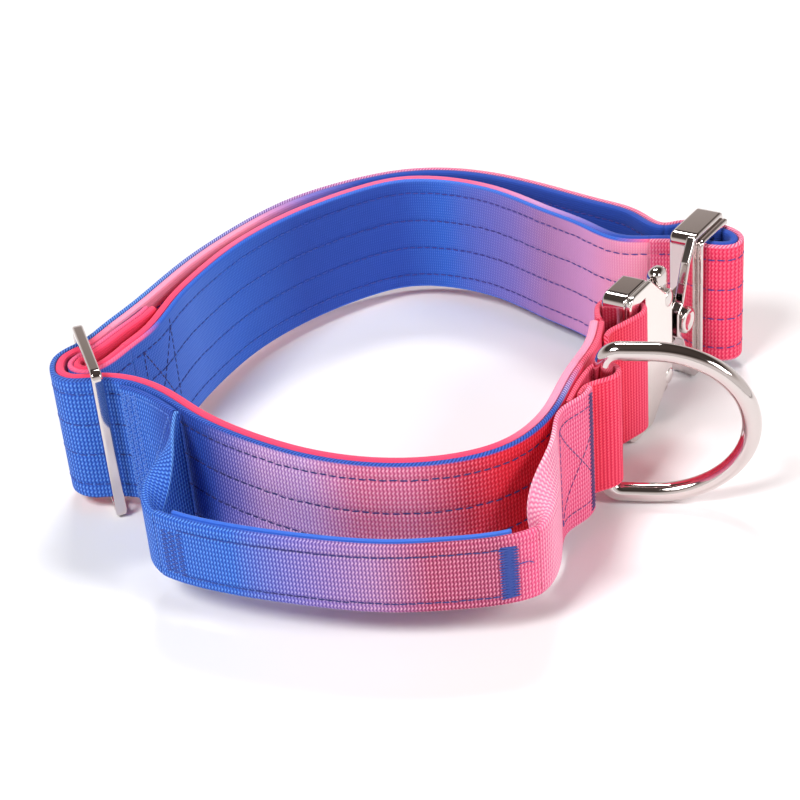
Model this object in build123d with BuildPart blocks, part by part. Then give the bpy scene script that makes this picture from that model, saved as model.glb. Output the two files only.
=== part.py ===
from build123d import *
import os
from math import cos, radians, sin

# Wide two-ply dog collar with a grab handle, a leash D-ring, a tri-glide slider and a two-clip
# metal buckle. Millimetres. The collar stands on its lower edge, +Z up, and the origin is under
# the middle of the collar, on the surface it stands on. -Y is the front, where the handle is.

# ---------------------------------------------------------------- driving dimensions
WEBBING_WIDTH = 50.0
COVER_PLY = 2.0  # the ribbed outer webbing
LINING_PLY = 3.2  # the thicker padded lining
PLY_GAP = 0.05  # half of the air between two sewn plies
HARDWARE_HEIGHT = 61.0  # slider and buckle, from the floor up
MIDDLE = HARDWARE_HEIGHT / 2
LOW = MIDDLE - WEBBING_WIDTH / 2
HIGH = MIDDLE + WEBBING_WIDTH / 2
COVER = (PLY_GAP, PLY_GAP + COVER_PLY)  # sideways from the strap's line, left being positive
LINING = (-PLY_GAP, -PLY_GAP - LINING_PLY)

BUCKLE_START = (72.5, -15.7)
BUCKLE_ANGLE = 54.6
SLOT_HALF = WEBBING_WIDTH / 2 + 0.6  # half length of every webbing slot
FEMALE_FACE = 6.0
MALE_FACE = 5.5
CAVITY_FACE = 3.6
PLATE_BACK = 3.65
PLATE_CHAMFER = 0.6
FEMALE_SLOT = (9.5, 6.0)  # middle and width
FEMALE_CORNER = 3.0
TONGUE_FACE = 1.5
CLIP_FACE = 3.2
PIVOT_S, PIVOT_Y = 31.0, 16.5
PIVOT_RADIUS = 2.0
PIVOT_CLEARANCE = 0.06
CEILING = 21.2  # half height of the cavity the clips swing in
ARM_TOP = 17.0
SPRING_S = 19.5
SPRING_TURNS = 3
SPRING_WIRE = 0.5
SPRING_RADIUS = 1.75
BOSS_S = 46.0
BOSS_RADIUS = 2.5
BOSS_TAIL = 1.0  # how far the boss reaches past the tongue
BOSS_HEAD_RADIUS, BOSS_HEAD_HEIGHT, BOSS_HEAD_ROUND = 5.2, 1.9, 1.2
TONGUE_RECESS = (47.0, 14.6)  # middle and length of the step the tongue lies in
PRESS_GAP = 0.05  # air between parts pressed together
MALE_SLOT = (62.4, 8.2)  # middle and width of the slot the strap comes up through
MALE_END_GAP = (78.0, 8.0)  # the open end, past the bar the strap goes round
MALE_END_RADIUS = 4.0
MALE_RIM_MIDDLE, MALE_RIM_LENGTH = 67.9, 23.4  # a second rim, raised on the male half's face
MALE_RIM_TOP = 28.0
MALE_RIM_HEIGHT = 2.1
SPLIT_N = -15.0  # where the strap that travels with the male half is parted from the rest
SPLIT_GAP = 0.3

SLIDER_BAR = (-116.4, -16.7)
SLIDER_ANGLE = 105.8
SLIDER_LENGTH = 40.8
SLIDER_BAR_RADIUS = 2.0
SLIDER_THICKNESS = 3.2
SLIDER_UPRIGHT = 1.8  # width of the long sides
SLIDER_END = 3.2  # width of the short sides
SLIDER_CORNER, SLIDER_WINDOW_CORNER = 3.0, 1.2

RING_BAR = (63.0, -52.1)
RING_ANGLE = -11.9
RING_MIDDLE = 32.4
RING_WIRE_RADIUS = 3.4
RING_HALF = 28.6  # to the middle of the wire
RING_REACH = 50.1
RING_CORNER = 5.6
RING_LEG = 16.0

# Spacing of the points that each strip of webbing is drawn through.
STRAP_STEP, SLIDER_TURN_STEP, MALE_TURN_STEP, TAIL_STEP, LOOP_STEP = 5.0, 4.0, 3.5, 3.0, 2.5

KEEPER_LOW, KEEPER_HIGH = 9.0, 54.0
GRIP_LOW, GRIP_HIGH = 12.5, 38.5

os.makedirs("parts", exist_ok=True)


def on_buckle(s, n):
    """Plan point at s along the buckle, from the female end, and n out from its middle plane."""
    angle = radians(BUCKLE_ANGLE)
    x = BUCKLE_START[0] + s * cos(angle) + n * sin(angle)
    y = BUCKLE_START[1] + s * sin(angle) - n * cos(angle)
    return (x, y)


def upright(place, height, angle):
    """A standing plane whose x runs along a plan angle and whose y runs up."""
    turn = radians(angle)
    return Plane(
        origin=(*place, height), x_dir=(cos(turn), sin(turn), 0), z_dir=(sin(turn), -cos(turn), 0)
    )


def beside(line, distance, offset):
    """Plan point at an offset to the left of a plan line, at a distance along it."""
    here = line.position_at(distance, position_mode=PositionMode.LENGTH)
    along = line.tangent_at(distance, position_mode=PositionMode.LENGTH)
    return (here.X - along.Y * offset, here.Y + along.X * offset)


def around(center, radius, angle):
    """Plan point at a radius and a plan angle from a centre."""
    turn = radians(angle)
    return (center[0] + radius * cos(turn), center[1] + radius * sin(turn))


def edge_points(line, start, end, offset, step):
    """Points every step or so at an offset from a plan line, between two distances along it."""
    count = max(4, round((end - start) / step))
    return [beside(line, start + (end - start) * i / count, offset) for i in range(count + 1)]


def strip(line, start, end, sides, low=LOW, high=HIGH, step=STRAP_STEP):
    """A standing strip of webbing between two distances along a plan line."""
    with BuildPart() as piece:
        with BuildSketch(Plane.XY.offset(low)):
            with BuildLine():
                near = Spline(*edge_points(line, start, end, sides[0], step))
                far = Spline(*edge_points(line, start, end, sides[1], step))
                Line(near @ 0, far @ 0)
                Line(near @ 1, far @ 1)
            make_face()
        extrude(amount=high - low)
    return piece


def both_sides(upper):
    """A closed outline from the corners of its upper half."""
    return upper + [(s, -y) for s, y in reversed(upper)]


def save(piece, label):
    """Labels a finished piece and writes its STEP file."""
    piece.part.label = label
    export_step(piece.part, f"parts/{label}.step")


# ---------------------------------------------------------------- the long strap
# One two-ply strap: from the female half along the front, round the slider's bar, along the back,
# round the male half's bar, back along the inside and round the slider's bar again. These are
# points on the seam between its two plies, seen from above.
with BuildLine():
    strap = Spline(
        on_buckle(-8, -2.6),
        on_buckle(-20, 1.9),
        (52.0, -54.5),
        (42.4, -76.5),
        (26.0, -95.5),
        (8.1, -101.3),
        (-9.7, -100.9),
        (-40.3, -89.5),
        (-57.6, -77.1),
        (-75.6, -59.5),
        (-92.5, -38.6),
        (-104.0, -30.6),
        (-113.3, -28.2),
        (-121.7, -27.3),
        (-126.8, -23.1),
        (-128.3, -17.1),
        (-127.0, -10.1),
        (-124.0, -6.4),
        (-119.9, -2.5),
        (-112.5, 8.9),
        (-104.3, 22.3),
        (-86.2, 54.9),
        (-67.3, 81.2),
        (-43.2, 105.2),
        (-16.0, 119.0),
        (1.7, 123.1),
        (22.5, 120.5),
        (42.6, 110.0),
        (61.9, 93.9),
        (80.5, 76.5),
        (92.3, 63.8),
        on_buckle(71.2, -14.3),
        on_buckle(75.5, -10),
        on_buckle(78, -4),
        on_buckle(78.3, 3),
        on_buckle(76.5, 10.5),
        on_buckle(71.5, 15.5),
        on_buckle(66.8, 15.6),
        on_buckle(63.9, 12.2),
        on_buckle(62.5, 6.5),
        on_buckle(61.9, 0),
        on_buckle(61.3, -6),
        on_buckle(58.6, -13),
        (83.6, 42.7),
        (70.3, 58.8),
        (58.0, 74.1),
        (41.4, 95.0),
        (22.9, 109.2),
        (1.2, 115.0),
        (-17.8, 108.7),
        (-42.7, 92.3),
        (-65.2, 68.9),
        (-79.5, 45.3),
        (-88.2, 26.1),
        (-96.3, 3.6),
        (-104.5, -9.6),
        (-112.0, -20.0),
        (-116.4, -22.2),
        (-121.0, -19.6),
        (-121.9, -16.7),
        (-120.8, -13.4),
        (-115.8, -7.3),
        (-107.6, 4.7),
        (-98.5, 18.9),
        (-94.2, 29.7),
    )

# Distances along the strap where one named length ends and the next begins.
FRONT_END = 252.0
SLIDER_TURN_END = 305.0
OUTER_RUN_END = 609.0
MALE_TURN = (595.0, 682.0)
INNER_RUN = (664.0, 968.3)
TAIL_END = 1042.3
CUT = 0.5

split_plane = upright(on_buckle(0, SPLIT_N), MIDDLE, BUCKLE_ANGLE)

for ply, sides in (("webbing", COVER), ("lining", LINING)):
    save(strip(strap, 0, FRONT_END, sides), f"front_{ply}")
    turn = strip(strap, FRONT_END + CUT, SLIDER_TURN_END, sides, step=SLIDER_TURN_STEP)
    save(turn, f"slider_turn_{ply}")

    outer = strip(strap, SLIDER_TURN_END + CUT, OUTER_RUN_END, sides)
    with outer:
        split(bisect_by=split_plane.offset(-SPLIT_GAP), keep=Keep.BOTTOM)
    save(outer, f"back_outer_{ply}")

    turn = strip(strap, *MALE_TURN, sides, step=MALE_TURN_STEP)
    with turn:
        split(bisect_by=split_plane.offset(SPLIT_GAP), keep=Keep.TOP)
    save(turn, f"male_turn_{ply}")

    inner = strip(strap, *INNER_RUN, sides)
    with inner:
        split(bisect_by=split_plane.offset(-SPLIT_GAP), keep=Keep.BOTTOM)
    save(inner, f"back_inner_{ply}")

# Round the slider's bar the lining is squeezed a little thinner.
SQUEEZED_LINING = 2.9
SQUEEZED = (-PLY_GAP, -SQUEEZED_LINING)
save(strip(strap, INNER_RUN[1] + CUT, TAIL_END, COVER, step=TAIL_STEP), "slider_tail_webbing")
save(strip(strap, INNER_RUN[1] + CUT, TAIL_END, SQUEEZED, step=TAIL_STEP), "slider_tail_lining")

# ---------------------------------------------------------------- loop on the female half
with BuildLine():
    female_loop = Spline(
        on_buckle(-6.2, -3.2),
        on_buckle(-3, -5.8),
        on_buckle(0.5, -7.6),
        on_buckle(5, -8.4),
        on_buckle(8.6, -6.8),
        on_buckle(10.2, -3),
        on_buckle(10.2, 2),
        on_buckle(9.2, 6.2),
        on_buckle(5.8, 8.3),
        on_buckle(0, 7.6),
        on_buckle(-8, 5.3),
        on_buckle(-13.5, 4.1),
        on_buckle(-16.5, 4.8),
    )
HALF_COVER = (COVER_PLY / 2, -COVER_PLY / 2)
loop_webbing = strip(female_loop, 0, female_loop.length, HALF_COVER, step=LOOP_STEP)
save(loop_webbing, "female_loop_webbing")

# ---------------------------------------------------------------- keeper that holds the D-ring
# Points along the front strap, then round the ring's bar, then back on top of itself.
with BuildLine():
    keeper_line = Spline(
        beside(strap, 53.0, 3.2),
        beside(strap, 43.0, 3.2),
        beside(strap, 36.0, 3.4),
        around(RING_BAR, 4.8, 152),
        around(RING_BAR, 4.8, 107),
        around(RING_BAR, 4.8, 62),
        around(RING_BAR, 4.9, 17),
        around(RING_BAR, 5.2, -28),
        beside(strap, 33.0, 13.0),
        beside(strap, 35.5, 11.2),
        beside(strap, 38.5, 8.6),
        beside(strap, 42.0, 6.3),
        beside(strap, 48.0, 5.7),
    )
save(
    strip(keeper_line, 0, keeper_line.length, HALF_COVER, KEEPER_LOW, KEEPER_HIGH, LOOP_STEP),
    "ring_keeper_webbing",
)

# ---------------------------------------------------------------- D-ring
ring_plane = upright(RING_BAR, RING_MIDDLE, RING_ANGLE)
with BuildPart() as d_ring:
    with BuildLine(ring_plane) as ring_path:
        bar = Line((0, RING_CORNER - RING_HALF), (0, RING_HALF - RING_CORNER))
        RadiusArc(bar @ 1, (RING_CORNER, RING_HALF), RING_CORNER)
        Line((RING_CORNER, RING_HALF), (RING_LEG, RING_HALF))
        EllipticalCenterArc(
            (RING_LEG, 0), RING_REACH - RING_LEG, RING_HALF, start_angle=-90, arc_size=180
        )
        Line((RING_CORNER, -RING_HALF), (RING_LEG, -RING_HALF))
        RadiusArc((RING_CORNER, -RING_HALF), bar @ 0, RING_CORNER)
    with BuildSketch(Plane(origin=bar @ 0.5, z_dir=bar % 0.5)):
        Circle(RING_WIRE_RADIUS)
    sweep(path=ring_path.wire())
save(d_ring, "d_ring")

# ---------------------------------------------------------------- slider
slider_plane = upright(SLIDER_BAR, MIDDLE, SLIDER_ANGLE)
with BuildPart() as slider_frame:
    with BuildSketch(slider_plane):
        RectangleRounded(SLIDER_LENGTH, HARDWARE_HEIGHT, SLIDER_CORNER)
        RectangleRounded(
            SLIDER_LENGTH - 2 * SLIDER_UPRIGHT,
            HARDWARE_HEIGHT - 2 * SLIDER_END,
            SLIDER_WINDOW_CORNER,
            mode=Mode.SUBTRACT,
        )
    extrude(amount=SLIDER_THICKNESS / 2, both=True)
save(slider_frame, "slider_frame")

with BuildPart() as slider_bar:
    with Locations((*SLIDER_BAR, MIDDLE)):
        Cylinder(SLIDER_BAR_RADIUS, HARDWARE_HEIGHT - 2 * SLIDER_END - 2 * PRESS_GAP)
save(slider_bar, "slider_bar")

# ---------------------------------------------------------------- buckle, female half
buckle = upright(BUCKLE_START, MIDDLE, BUCKLE_ANGLE)
outward = Axis(buckle.origin, buckle.z_dir)
FEMALE_OUTLINE = both_sides([(0, MIDDLE), (17, MIDDLE), (28.5, 20), (34, 20)])
CAVITY = both_sides([(14, CEILING), (22, CEILING), (24, 32), (40, 32)])


def slot(center_s, width):
    """A slot for webbing, across the buckle."""
    with Locations((center_s, 0)):
        Rectangle(width, 2 * SLOT_HALF, mode=Mode.SUBTRACT)


with BuildPart() as female_housing:
    with BuildSketch(buckle.offset(-FEMALE_FACE)) as outline:
        Polygon(*FEMALE_OUTLINE, align=None)
        fillet(outline.vertices(), FEMALE_CORNER)
        slot(*FEMALE_SLOT)
        with Locations((PIVOT_S, PIVOT_Y), (PIVOT_S, -PIVOT_Y)):
            Circle(PIVOT_RADIUS, mode=Mode.SUBTRACT)
    extrude(amount=FEMALE_FACE + CAVITY_FACE)
    with BuildSketch(buckle.offset(-CAVITY_FACE)):
        Polygon(*CAVITY, align=None)
    extrude(amount=2 * CAVITY_FACE, mode=Mode.SUBTRACT)
save(female_housing, "female_housing")

with BuildPart() as female_plate:
    with BuildSketch(buckle.offset(PLATE_BACK)) as outline:
        Polygon(*FEMALE_OUTLINE, align=None)
        fillet(outline.vertices(), FEMALE_CORNER)
        slot(*FEMALE_SLOT)
        with Locations((PIVOT_S, PIVOT_Y), (PIVOT_S, -PIVOT_Y)):
            Circle(PIVOT_RADIUS, mode=Mode.SUBTRACT)
    extrude(amount=FEMALE_FACE - PLATE_BACK)
    chamfer(female_plate.faces().sort_by(outward)[-1].outer_wire().edges(), PLATE_CHAMFER)
save(female_plate, "female_face_plate")

# ---------------------------------------------------------------- clips, their rivets and springs
# The upper clip, from its hooked tip round to the thumb pad and back along the arm.
HOOKED_ARM = [
    (17.0, ARM_TOP),
    (17.0, 14.0),
    (18.5, 11.0),
    (21.7, 10.1),
    (24.5, 10.1),
    (25.5, 13.0),
    (33.5, 13.5),
    (34.5, 18.5),
    (38.0, 20.5),
    (38.0, 26.0),
    (36.0, 27.0),
    (29.5, 27.0),
    (28.6, 25.0),
    (27.0, ARM_TOP),
]
SPRING_CLEARANCE = 0.2
SPRING_HEIGHT = CEILING - ARM_TOP - SPRING_CLEARANCE
RIVET_HEAD_LIP = 1.1
RIVET_HEAD_HEIGHT = 0.7
for name, side in (("upper", 1), ("lower", -1)):
    with BuildPart() as clip:
        with BuildSketch(buckle.offset(-CLIP_FACE)):
            Polygon(*[(s, side * y) for s, y in HOOKED_ARM], align=None)
            with Locations((PIVOT_S, side * PIVOT_Y)):
                Circle(PIVOT_RADIUS + PIVOT_CLEARANCE, mode=Mode.SUBTRACT)
        extrude(amount=2 * CLIP_FACE)
    save(clip, f"{name}_clip")

    with BuildPart() as rivet:
        with BuildSketch(buckle.offset(-FEMALE_FACE)):
            with Locations((PIVOT_S, side * PIVOT_Y)):
                Circle(PIVOT_RADIUS)
        extrude(amount=2 * FEMALE_FACE)
        for face in (-FEMALE_FACE - RIVET_HEAD_HEIGHT, FEMALE_FACE):
            with BuildSketch(buckle.offset(face)):
                with Locations((PIVOT_S, side * PIVOT_Y)):
                    Circle(PIVOT_RADIUS + RIVET_HEAD_LIP)
            extrude(amount=RIVET_HEAD_HEIGHT)
    save(rivet, f"{name}_pivot_rivet")

    with BuildPart() as spring:
        foot = MIDDLE + side * (ARM_TOP + CEILING) / 2 - SPRING_HEIGHT / 2 + SPRING_WIRE / 2
        rise = SPRING_HEIGHT - SPRING_WIRE
        with BuildLine(Plane(origin=(*on_buckle(SPRING_S, 0), foot))) as coil:
            Helix(rise / SPRING_TURNS, rise, SPRING_RADIUS)
        with BuildSketch(Plane(origin=coil.line @ 0, z_dir=coil.line % 0)):
            Circle(SPRING_WIRE / 2)
        sweep(path=coil.line)
    save(spring, f"{name}_clip_spring")

# ---------------------------------------------------------------- buckle, male half
TONGUE_OUTLINE = both_sides([(14.5, 9.3), (15.5, 10.8), (18, 10.8), (21.2, 9.8), (53.5, 9.8)])
MALE_OUTLINE = both_sides([(40, 5), (44, 8), (49.5, 22), (55, MIDDLE), (80, MIDDLE)])

with BuildPart() as tongue:
    with BuildSketch(buckle.offset(-TONGUE_FACE)):
        Polygon(*TONGUE_OUTLINE, align=None)
        with Locations((BOSS_S, 0)):
            Circle(BOSS_RADIUS, mode=Mode.SUBTRACT)
    extrude(amount=2 * TONGUE_FACE)
save(tongue, "male_tongue")

with BuildPart() as male_frame:
    with BuildSketch(buckle.offset(-MALE_FACE)) as outline:
        Polygon(*MALE_OUTLINE, align=None)
        fillet(outline.vertices().sort_by(Axis.X)[-2:], MALE_END_RADIUS)
        slot(*MALE_SLOT)
        slot(*MALE_END_GAP)
        with Locations((BOSS_S, 0)):
            Circle(BOSS_RADIUS, mode=Mode.SUBTRACT)
    extrude(amount=2 * MALE_FACE)
    with BuildSketch(buckle.offset(-MALE_FACE)):
        with Locations((TONGUE_RECESS[0], 0)):
            Rectangle(TONGUE_RECESS[1], 2 * SLOT_HALF)
    extrude(amount=MALE_FACE + TONGUE_FACE + PRESS_GAP, mode=Mode.SUBTRACT)
    with BuildSketch(buckle.offset(MALE_FACE)) as outline:
        with Locations((MALE_RIM_MIDDLE, 0)):
            RectangleRounded(MALE_RIM_LENGTH, 2 * MALE_RIM_TOP, MALE_END_RADIUS)
        slot(*MALE_SLOT)
        slot(*MALE_END_GAP)
    extrude(amount=MALE_RIM_HEIGHT)
save(male_frame, "male_frame")

with BuildPart() as boss:
    with BuildSketch(buckle.offset(-TONGUE_FACE - BOSS_TAIL)):
        with Locations((BOSS_S, 0)):
            Circle(BOSS_RADIUS)
    extrude(amount=MALE_FACE + TONGUE_FACE + BOSS_TAIL + 2 * PRESS_GAP)
    with BuildSketch(buckle.offset(MALE_FACE + PRESS_GAP)):
        with Locations((BOSS_S, 0)):
            Circle(BOSS_HEAD_RADIUS)
    extrude(amount=BOSS_HEAD_HEIGHT)
    fillet(boss.edges().filter_by(GeomType.CIRCLE).sort_by(outward)[-1:], BOSS_HEAD_ROUND)
save(boss, "male_centre_rivet")

# ---------------------------------------------------------------- grab handle
# The outer face of the handle webbing, from its fold by the slider to its end by the D-ring.
with BuildLine():
    handle = Spline(
        (-83.0, -56.4),
        (-88.6, -62.8),
        (-93.6, -71.6),
        (-95.7, -80.2),
        (-93.6, -88.4),
        (-85.6, -96.2),
        (-74.0, -103.0),
        (-58.5, -110.0),
        (-42.5, -116.0),
        (-11.8, -124.0),
        (4.4, -125.0),
        (23.9, -124.0),
        (34.0, -119.8),
        (38.6, -113.2),
        (41.2, -105.0),
        (42.8, -92.0),
        (44.4, -82.0),
        beside(strap, 60.0, 4.3),
        beside(strap, 54.0, 6.8),
        beside(strap, 49.0, 8.8),
        beside(strap, 44.4, 9.2),
    )
LEFT_FLARE_END = 40.0
GRIP_END = 172.0
FLARE_PLY = (0, COVER_PLY)
GRIP_WEBBING = (0, 3.2)
GRIP_LINING = (3.3, 5.0)
LINING_RUN = (46.0, 163.0)
LINING_INSET = 1.0
PATCH_RUN = (211.0, 241.0)
PATCH_PLY = (2.2, 4.2)
PATCH_LOW, PATCH_HIGH = 6.5, 54.5
FLARE_INSET = 0.5

save(strip(strap, *PATCH_RUN, PATCH_PLY, PATCH_LOW, PATCH_HIGH), "handle_left_patch")

# Each flare narrows from the webbing's full width at one Y to the grip's width at another.
TAPERS = {
    "handle_left_flare": (0, LEFT_FLARE_END, -56, -86),
    "handle_right_end": (GRIP_END + CUT, handle.length, -84, -116),
}
TAPER_REACH = 30
TAPER_HALF_LENGTH = 130
for label, (start, end, wide, narrow) in TAPERS.items():
    band = strip(handle, start, end, FLARE_PLY, step=TAIL_STEP)
    with BuildPart() as flare:
        add(band)
        with BuildSketch(Plane.YZ):
            Polygon(
                (wide + TAPER_REACH, LOW + FLARE_INSET),
                (wide + TAPER_REACH, HIGH - FLARE_INSET),
                (wide, HIGH - FLARE_INSET),
                (narrow, GRIP_HIGH),
                (narrow - TAPER_REACH, GRIP_HIGH),
                (narrow - TAPER_REACH, GRIP_LOW),
                (narrow, GRIP_LOW),
                (wide, LOW + FLARE_INSET),
                align=None,
            )
        extrude(amount=TAPER_HALF_LENGTH, both=True, mode=Mode.INTERSECT)
    save(flare, label)

save(
    strip(handle, LEFT_FLARE_END + CUT, GRIP_END, GRIP_WEBBING, GRIP_LOW, GRIP_HIGH),
    "grip_webbing",
)
save(
    strip(handle, *LINING_RUN, GRIP_LINING, GRIP_LOW + LINING_INSET, GRIP_HIGH - LINING_INSET),
    "grip_lining",
)
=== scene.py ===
import math

import bmesh
import bpy
import numpy as np
from mathutils import Matrix, Vector


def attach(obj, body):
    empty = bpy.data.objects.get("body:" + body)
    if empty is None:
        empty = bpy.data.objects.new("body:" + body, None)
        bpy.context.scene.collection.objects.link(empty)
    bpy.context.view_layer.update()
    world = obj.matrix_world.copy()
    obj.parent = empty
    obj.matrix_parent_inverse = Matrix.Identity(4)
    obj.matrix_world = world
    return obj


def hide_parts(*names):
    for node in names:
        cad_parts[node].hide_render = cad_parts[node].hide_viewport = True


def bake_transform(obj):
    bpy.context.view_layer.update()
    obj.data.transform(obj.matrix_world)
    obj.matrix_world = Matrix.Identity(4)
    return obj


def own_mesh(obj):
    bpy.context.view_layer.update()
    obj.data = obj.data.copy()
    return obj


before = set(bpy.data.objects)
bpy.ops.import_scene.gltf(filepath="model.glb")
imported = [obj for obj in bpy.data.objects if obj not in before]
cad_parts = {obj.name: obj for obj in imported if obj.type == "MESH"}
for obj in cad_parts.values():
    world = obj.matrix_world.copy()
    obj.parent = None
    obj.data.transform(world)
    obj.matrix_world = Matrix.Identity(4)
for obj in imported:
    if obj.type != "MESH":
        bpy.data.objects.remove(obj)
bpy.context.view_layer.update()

# A two-ply webbing dog collar with a grab handle, a D-ring, a slider and a clip buckle, standing
# on edge. Shapes are drawn in millimetres, with plan places (x, y) and heights z. MM turns them to
# Blender's metres. The materials, the stage, the lights and the camera are in metres throughout.

MM = 0.001
rng = np.random.default_rng(7)

# -------------------- sizes, in millimetres
LOW, HIGH = 5.5, 55.5  # heights of the strap's two edges
MIDDLE = (LOW + HIGH) / 2
HALF_WIDTH = (HIGH - LOW) / 2
COVER = (0.05, 2.05)  # offsets of the webbing ply's two faces from the strap's line
LINING = (-0.05, -3.25)  # the same for the lining ply
# The buckle stands on a straight line. Its outlines are drawn as (along it, up from its middle).
BUCKLE_START = (72.5, -15.7)
BUCKLE_ANGLE = math.radians(54.6)
ALONG = np.array((math.cos(BUCKLE_ANGLE), math.sin(BUCKLE_ANGLE)))
OUT = np.array((math.sin(BUCKLE_ANGLE), -math.cos(BUCKLE_ANGLE)))
RING_BAR = (63.0, -52.1)
SLIDER_BAR = (-116.4, -16.7)
SLIDER_ANGLE = math.radians(105.8)


def on_buckle(s, n):
    """Plan point at s along the buckle and n out from its middle plane."""
    return tuple(np.array(BUCKLE_START) + s * ALONG + n * OUT)


def around(center, radius, angle):
    """Plan point at a radius and an angle in degrees from a centre."""
    turn = math.radians(angle)
    return (center[0] + radius * math.cos(turn), center[1] + radius * math.sin(turn))


class Line:
    """A smooth plan line (a natural cubic spline) through points, read by distance along it."""

    def __init__(self, points, samples=60):
        p = np.array(points, float)
        t = np.concatenate([[0], np.cumsum(np.linalg.norm(np.diff(p, axis=0), axis=1))])
        n, h = len(t), np.diff(t)
        a, r = np.eye(n), np.zeros((n, 2))
        for i in range(1, n - 1):
            a[i, i - 1 : i + 2] = h[i - 1], 2 * (h[i - 1] + h[i]), h[i]
            r[i] = 6 * ((p[i + 1] - p[i]) / h[i] - (p[i] - p[i - 1]) / h[i - 1])
        m = np.linalg.solve(a, r)
        s = np.linspace(0, t[-1], samples * n)
        k = np.clip(np.searchsorted(t, s, side="right") - 1, 0, n - 2)
        lo, hi, w = (s - t[k])[:, None], (t[k + 1] - s)[:, None], h[k][:, None]
        self.xy = (
            m[k] * hi**3 / (6 * w)
            + m[k + 1] * lo**3 / (6 * w)
            + (p[k] / w - m[k] * w / 6) * hi
            + (p[k + 1] / w - m[k + 1] * w / 6) * lo
        )
        self.d = np.concatenate([[0], np.cumsum(np.linalg.norm(np.diff(self.xy, axis=0), axis=1))])
        tangent = np.gradient(self.xy, self.d, axis=0)
        tangent /= np.linalg.norm(tangent, axis=1)[:, None]
        self.left = np.stack([-tangent[:, 1], tangent[:, 0]], axis=1)
        self.length = self.d[-1]

    def read(self, distance, offset=0.0):
        """Plan points at distances along the line and offsets to its left."""
        d = np.asarray(distance, float)
        xy = np.stack([np.interp(d, self.d, self.xy[:, i]) for i in (0, 1)], axis=-1)
        left = np.stack([np.interp(d, self.d, self.left[:, i]) for i in (0, 1)], axis=-1)
        left /= np.linalg.norm(left, axis=-1, keepdims=True)
        return xy + left * np.asarray(offset, float)[..., None]


# The strap runs from the female half along the front, round the slider, back along the outside,
# round the male half, back along the inside, and ends round the slider's centre bar.
strap = Line([
    on_buckle(-8, -2.6), on_buckle(-20, 1.9), (52.0, -54.5), (42.4, -76.5), (26.0, -95.5),
    (8.1, -101.3), (-9.7, -100.9), (-40.3, -89.5), (-57.6, -77.1), (-75.6, -59.5), (-92.5, -38.6),
    (-104.0, -30.6), (-113.3, -28.2), (-121.7, -27.3), (-126.8, -23.1), (-128.3, -17.1),
    (-127.0, -10.1), (-124.0, -6.4), (-119.9, -2.5), (-112.5, 8.9), (-104.3, 22.3), (-86.2, 54.9),
    (-67.3, 81.2), (-43.2, 105.2), (-16.0, 119.0), (1.7, 123.1), (22.5, 120.5), (42.6, 110.0),
    (61.9, 93.9), (80.5, 76.5), (92.3, 63.8),
    *[on_buckle(s, n) for s, n in (
        (71.2, -14.3), (75.5, -10), (78, -4), (78.3, 3), (76.5, 10.5), (71.5, 15.5), (66.8, 15.6),
        (63.9, 12.2), (62.5, 6.5), (61.9, 0), (61.3, -6), (58.6, -13))],
    (83.6, 42.7), (70.3, 58.8), (58.0, 74.1), (41.4, 95.0), (22.9, 109.2), (1.2, 115.0),
    (-17.8, 108.7), (-42.7, 92.3), (-65.2, 68.9), (-79.5, 45.3), (-88.2, 26.1), (-96.3, 3.6),
    (-104.5, -9.6), (-112.0, -20.0), (-116.4, -22.2), (-121.0, -19.6), (-121.9, -16.7),
    (-120.8, -13.4), (-115.8, -7.3), (-107.6, 4.7), (-98.5, 18.9), (-94.2, 29.7),
])


def by_strap(distance, offset):
    """Plan point beside the strap's line."""
    return tuple(strap.read(distance, offset))


female_loop = Line([on_buckle(s, n) for s, n in (
    (-6.2, -3.2), (-3, -5.8), (0.5, -7.6), (5, -8.4), (8.6, -6.8), (10.2, -3), (10.2, 2),
    (9.2, 6.2), (5.8, 8.3), (0, 7.6), (-8, 5.3), (-13.5, 4.1), (-16.5, 4.8))])
keeper = Line([
    by_strap(53.0, 3.2), by_strap(43.0, 3.2), by_strap(36.0, 3.4),
    around(RING_BAR, 4.8, 152), around(RING_BAR, 4.8, 107), around(RING_BAR, 4.8, 62),
    around(RING_BAR, 4.9, 17), around(RING_BAR, 5.2, -28), by_strap(33.0, 13.0),
    by_strap(35.5, 11.2), by_strap(38.5, 8.6), by_strap(42.0, 6.3), by_strap(48.0, 5.7),
])
handle = Line([
    (-83.0, -56.4), (-88.6, -62.8), (-93.6, -71.6), (-95.7, -80.2), (-93.6, -88.4),
    (-85.6, -96.2), (-74.0, -103.0), (-58.5, -110.0), (-42.5, -116.0), (-11.8, -124.0),
    (4.4, -125.0), (23.9, -124.0), (34.0, -119.8), (38.6, -113.2), (41.2, -105.0), (42.8, -92.0),
    (44.4, -82.0), by_strap(60.0, 4.3), by_strap(54.0, 6.8), by_strap(49.0, 8.8),
    by_strap(44.4, 9.2),
])

# Distances along the strap where one named length ends and the next begins, as in the CAD model.
FRONT_END, SLIDER_TURN_END = 252.25, 305.25
INNER_RUN_END, TAIL_END = 968.55, 1042.3


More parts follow.
